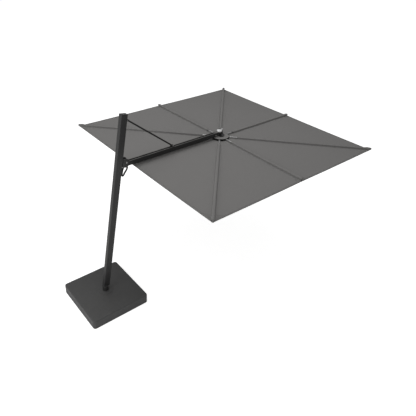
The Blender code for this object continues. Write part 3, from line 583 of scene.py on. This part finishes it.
def stitches(name, runs):
    """Lock stitches along runs; a run is (hub-centred points, lift from the cloth's middle)."""
    corners = np.array([(u, v) for u in (-1, 1) for v in (-1, 1)], float)
    order = [0, 1, 3, 2]
    points, faces = [], []
    for line, lift in runs:
        line = np.asarray(line, float)
        steps = np.hypot(*np.diff(line, axis=0).T)
        run = np.r_[0, np.cumsum(steps)]
        centres = np.arange(STITCH_PITCH / 2, run[-1] - STITCH_PITCH / 2, STITCH_PITCH)
        if not len(centres):
            continue
        at = np.stack([np.interp(centres, run, line[:, i]) for i in (0, 1)], -1)
        ahead = np.stack([np.interp(centres + 0.0005, run, line[:, i]) for i in (0, 1)], -1)
        heading = ahead - at
        heading /= np.maximum(np.hypot(*heading.T), 1e-9)[:, None]
        across = np.stack([-heading[:, 1], heading[:, 0]], -1)
        sign = math.copysign(1, lift)
        rings = []
        for level, shrink in STITCH_LEVELS:
            ends = corners[order, 0][None, :, None] * STITCH_LENGTH / 2 * (0.5 + shrink / 2)
            sides = corners[order, 1][None, :, None] * STITCH_WIDTH / 2 * shrink
            place = at[:, None] + heading[:, None] * ends + across[:, None] * sides
            z = deck(at[:, 0], at[:, 1]) + lift + sign * level
            z = np.repeat(z[:, None, None], 4, axis=1)
            rings.append(np.concatenate([place + (HUB_X, HUB_Y), z], -1))
        block = np.concatenate(rings, 1)
        start = sum(len(p) for p in points)
        cube = np.array([
            (3, 2, 1, 0), (4, 5, 6, 7), (0, 1, 5, 4), (1, 2, 6, 5), (2, 3, 7, 6), (3, 0, 4, 7),
        ])
        if sign < 0:
            cube = cube[:, ::-1]
        points.append(block.reshape(-1, 3))
        base = start + 8 * np.arange(len(centres))
        faces.append((base[:, None, None] + cube[None]).reshape(-1, 4))
    return new_object(name, np.concatenate(points), np.concatenate(faces), THREAD_DARKENED_FOR_SHADE, 0)


def hem_run(angle, inward, lift):
    """A run of stitches along a panel's hem, inward from its edge."""
    heading = angle + np.linspace(-1, 1, 41) * STEP / 2
    radius = hem_reach(heading) * (1 - inward / HALF)
    return np.stack([radius * np.cos(heading), radius * np.sin(heading)], -1), lift


def seam_run(angle, beside, lift, end):
    """A run of stitches along a sleeve."""
    return np.array([turned(SLEEVE_START + 0.004, beside, angle), turned(end, beside, angle)]), lift


def round_run(angle, radius, lift):
    """A run of stitches round the hub."""
    heading = angle + np.linspace(-1, 1, 25) * STEP / 2
    return np.stack([radius * np.cos(heading), radius * np.sin(heading)], -1), lift


TOP, UNDER = 0.0018, -0.0018  # a stitch's lift on the hem's two faces

for k in RIBS:
    angle = (k - 1) * STEP
    body, rib, corner = f"rib_{k}_body", f"rib_{k}", k % 2 == 0
    reach = float(hem_reach(angle))
    end = reach - SLEEVE_SHORT - (0.020 if corner else 0.004)
    panel, sleeve, hem = make_panel(k, angle), make_sleeve(k, angle), make_hem(k, angle)
    if corner:
        patch = make_patch(f"corner_patch_{k}", angle, reach - 0.150, reach - 0.006,
                           lambda a: (reach - a) * 0.985)
        hem_of_patch = np.array([turned(reach - 0.144, b, angle) for b in (-0.13, 0.13)])
    else:
        patch = make_patch(f"edge_patch_{k}", angle, reach - 0.110, reach - 0.006,
                           lambda a: 0.085 * np.sqrt(np.clip(1 - ((reach - a) / 0.1101) ** 2, 0, 1)))
        bow = np.linspace(-1.25, 1.25, 25)
        hem_of_patch = np.stack(turned(reach - 0.104 * np.cos(bow), 0.079 * np.sin(bow), angle), -1)
    centre = make_centre(k, angle)
    panel_thread = stitches(f"panel_stitches_{k}", [
        hem_run(angle, 0.0225, TOP), hem_run(angle, 0.0060, TOP + 0.0001),
        hem_run(angle, 0.0225, UNDER), hem_run(angle, 0.0060, UNDER - 0.0001),
        # stitches beside each sleeve: real seams whose dark thread also paints the shade at the
        # sleeve's foot
        seam_run(angle, -SEAM - 0.0005, -0.0007, end),
        seam_run(angle, SEAM + 0.0005, -0.0007, end),
        (hem_of_patch, 0.0014), (hem_of_patch, -0.0014),
        round_run(angle, 0.114, -0.0016), round_run(angle, 0.048, -0.0016),
    ])
    # the same dark thread on the sleeve's own foot, which also paints its shade line
    sleeve_thread = stitches(f"sleeve_stitches_{k}", [
        seam_run(angle, side * (SEAM + 0.0016), 0.0020, end) for side in (-1, 1)
    ])
    for piece in (panel, sleeve, hem, patch, centre, panel_thread, sleeve_thread):
        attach(piece, body)
    for piece in (panel, hem, patch, centre, panel_thread):
        fold_with(piece)
    for piece in (sleeve, sleeve_thread):
        fold_with(piece)
    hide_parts(f"canopy_panel_{k}")


# ---------------------------------------------------------------- vent cover

VENT_STEPS = 96  # points round the vent cover


def spun(name, section, material):
    """A thin round sheet from (radius, height) places, sagging a little between the ribs."""
    turns = np.arange(VENT_STEPS) * math.tau / VENT_STEPS
    rows = np.array(section)
    r, a = np.meshgrid(rows[:, 0], turns, indexing="ij")
    z = np.repeat(rows[:, 1][:, None], VENT_STEPS, 1)
    z = z - 0.0006 * np.clip((r - 0.07) / 0.05, 0, 1) * (0.5 - 0.5 * np.cos(a * 8))
    x, y = r * np.cos(a), r * np.sin(a)
    points = np.stack([x + HUB_X, y + HUB_Y, z], -1).reshape(-1, 3)
    flat = np.stack([x, y], -1).reshape(-1, 2)
    return new_object(name, points, grid_faces(len(rows), VENT_STEPS, wrap=True), material, 60, flat)


# radius and height over the CAD cap's middle, drawn for a cover of VENT_DRAWN radius
VENT_DRAWN = 0.13
VENT_SECTION = (
    (0.0225, 0.0010), (0.0350, 0.0012), (0.0530, 0.0012), (0.0700, 0.0010), (0.0850, 0.0006),
    (0.1000, 0.0001), (0.1130, -0.0007), (0.1220, -0.0014), (0.1270, -0.0021), (0.1292, -0.0029),
    (0.1299, -0.0042),
)
vent_places = [(r * VENT_RADIUS / VENT_DRAWN, VENT_Z + z) for r, z in VENT_SECTION]
vent = thicken(spun("vent_cover", vent_places, CANVAS), 0.0010)


def vent_shade_skirt():
    """A black webbing sheet under the cover's edge, a painted shadow for the gap down to the cloth;
    open where each rib passes.
    """
    radius, half = VENT_RADIUS - 0.0018, 0.0125
    top, bottom = RIB_TOP + 0.0014, DECK_HUB + 0.0022
    points, faces, flat = [], [], []
    gap = math.asin(half / radius)
    for k in RIBS:
        start = (k - 1) * STEP + gap
        turns = np.linspace(start, start + STEP - 2 * gap, 13)
        section = [(radius, top), (radius + 0.0012, bottom),
                   (radius - 0.0006, bottom), (radius - 0.0018, top)]
        first = len(points)
        for a in turns:
            for r, z in section:
                points.append((HUB_X + r * math.cos(a), HUB_Y + r * math.sin(a), z))
                flat.append((a * radius, z))
        ring = np.array(grid_faces(len(turns), 4, wrap=True)) + first
        faces += [tuple(f) for f in ring]
        faces.append(tuple(first + i for i in (0, 1, 2, 3)))
        faces.append(tuple(first + 4 * (len(turns) - 1) + i for i in (3, 2, 1, 0)))
    return new_object("vent_shade_skirt", points, faces, BLACK_TAPE, 50, flat)


def vent_binding():
    """A narrow tape folded over the cover's edge."""
    section = [(0.0052, 0.0012), (0.0008, 0.0006), (-0.0006, -0.0012), (-0.0008, -0.0030),
               (0.0006, -0.0032), (0.0010, -0.0014), (0.0052, -0.0002)]
    rings, flat = [], []
    for a in np.arange(VENT_STEPS + 1) * math.tau / VENT_STEPS:
        rings.append([
            (HUB_X + (VENT_RADIUS - inward) * math.cos(a), HUB_Y + (VENT_RADIUS - inward) * math.sin(a),
             VENT_Z - 0.0022 + z) for inward, z in section
        ])
        flat.append([(a * VENT_RADIUS, inward + z) for inward, z in section])
    rings = np.array(rings)
    return closed_strip("vent_binding", rings, BLACK_TAPE, np.array(flat).reshape(-1, 2), 50)


shadow_sheet, binding = vent_shade_skirt(), vent_binding()
for piece in (vent, shadow_sheet, binding):
    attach(piece, "hub")
    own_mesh(piece)
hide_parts("vent_cap")


# ---------------------------------------------------------------- stage

FLOOR_HALF = 60.0
FLOOR_Z = -0.0005
GLOW_SEEN, GLOW_LIT = 0.70, 0.15  # the floor's emission as the camera sees it, and as light
WORLD_SEEN, WORLD_LIT = 1.0, 0.36  # the same for the world


def make_floor():
    """A pale floor that looks evenly white to the camera and glows less as light on the object."""
    r = Recipe("pale_floor")
    tone = r.noise(0.8, 3.0)
    base = r.mix(tone, (0.86, 0.86, 0.86, 1), (0.90, 0.90, 0.90, 1))
    seen = r.node("ShaderNodeLightPath").outputs["Is Camera Ray"]
    r.surface(Base_Color=base, Roughness=r.spread(tone, 0.85, 0.95), Emission_Color=(1, 1, 1, 1),
              Emission_Strength=r.spread(seen, GLOW_LIT, GLOW_SEEN), Specular_IOR_Level=0.1)
    corners = [(x * FLOOR_HALF, y * FLOOR_HALF, FLOOR_Z)
               for x, y in ((-1, -1), (1, -1), (1, 1), (-1, 1))]
    floor = new_object("floor", corners, [(0, 1, 2, 3)], r.material, 0)


def area_light(name, at, target, size, power):
    """A square light of a size in metres and a power in watts, turned to a target."""
    data = bpy.data.lights.new(name, "AREA")
    data.shape, data.size, data.energy = "SQUARE", size, power
    light = bpy.data.objects.new(name, data)
    light.location = at
    light.rotation_mode = "QUATERNION"
    light.rotation_quaternion = (Vector(target) - Vector(at)).to_track_quat("-Z", "Y")
    bpy.context.scene.collection.objects.link(light)


def make_world(seen, lit):
    """White surroundings: one strength as the camera sees them, another as light."""
    world = bpy.data.worlds.new("studio")
    bpy.context.scene.world = world
    world.use_nodes = True
    tree = world.node_tree
    tree.nodes.clear()
    out = tree.nodes.new("ShaderNodeOutputWorld")
    shade = tree.nodes.new("ShaderNodeBackground")
    shade.inputs["Color"].default_value = (1, 1, 1, 1)
    path = tree.nodes.new("ShaderNodeLightPath")
    scale = tree.nodes.new("ShaderNodeMapRange")
    tree.links.new(path.outputs["Is Camera Ray"], scale.inputs["Value"])
    scale.inputs["To Min"].default_value, scale.inputs["To Max"].default_value = lit, seen
    tree.links.new(scale.outputs["Result"], shade.inputs["Strength"])
    tree.links.new(shade.outputs["Background"], out.inputs["Surface"])


make_floor()
make_world(WORLD_SEEN, WORLD_LIT)
area_light("key", (-5.5, -1.0, 3.2), (0.8, 0.0, 1.0), 4.0, 165.0)
area_light("top", (1.0, 0.5, 7.5), (1.0, 0.0, 0.0), 6.0, 264.0)
bpy.context.scene.view_settings.view_transform = "Standard"

# The camera, worked out from the canopy's and the base's corners in the photograph
CAMERA_AT = (-2.0955, -4.0425, 4.7305)
YAW, PITCH, ROLL = (math.radians(a) for a in (52.3113, 34.6397, 1.5962))
SENSOR_MM, LENS_MM, SHIFT = 36.0, 36.87, 0.1082
forward = Vector((math.cos(YAW) * math.cos(PITCH), math.sin(YAW) * math.cos(PITCH), -math.sin(PITCH)))
right = Vector((math.sin(YAW), -math.cos(YAW), 0))
up = right.cross(forward)
level = math.cos(ROLL) * right + math.sin(ROLL) * up
rise = math.cos(ROLL) * up - math.sin(ROLL) * right
camera = bpy.data.objects.new("camera", bpy.data.cameras.new("camera"))
turn = Matrix((level, rise, -forward)).transposed().to_4x4()
camera.matrix_world = Matrix.Translation(CAMERA_AT) @ turn
camera.data.sensor_width = SENSOR_MM
camera.data.lens = LENS_MM
camera.data.shift_x = SHIFT
bpy.context.scene.collection.objects.link(camera)
bpy.context.scene.camera = camera
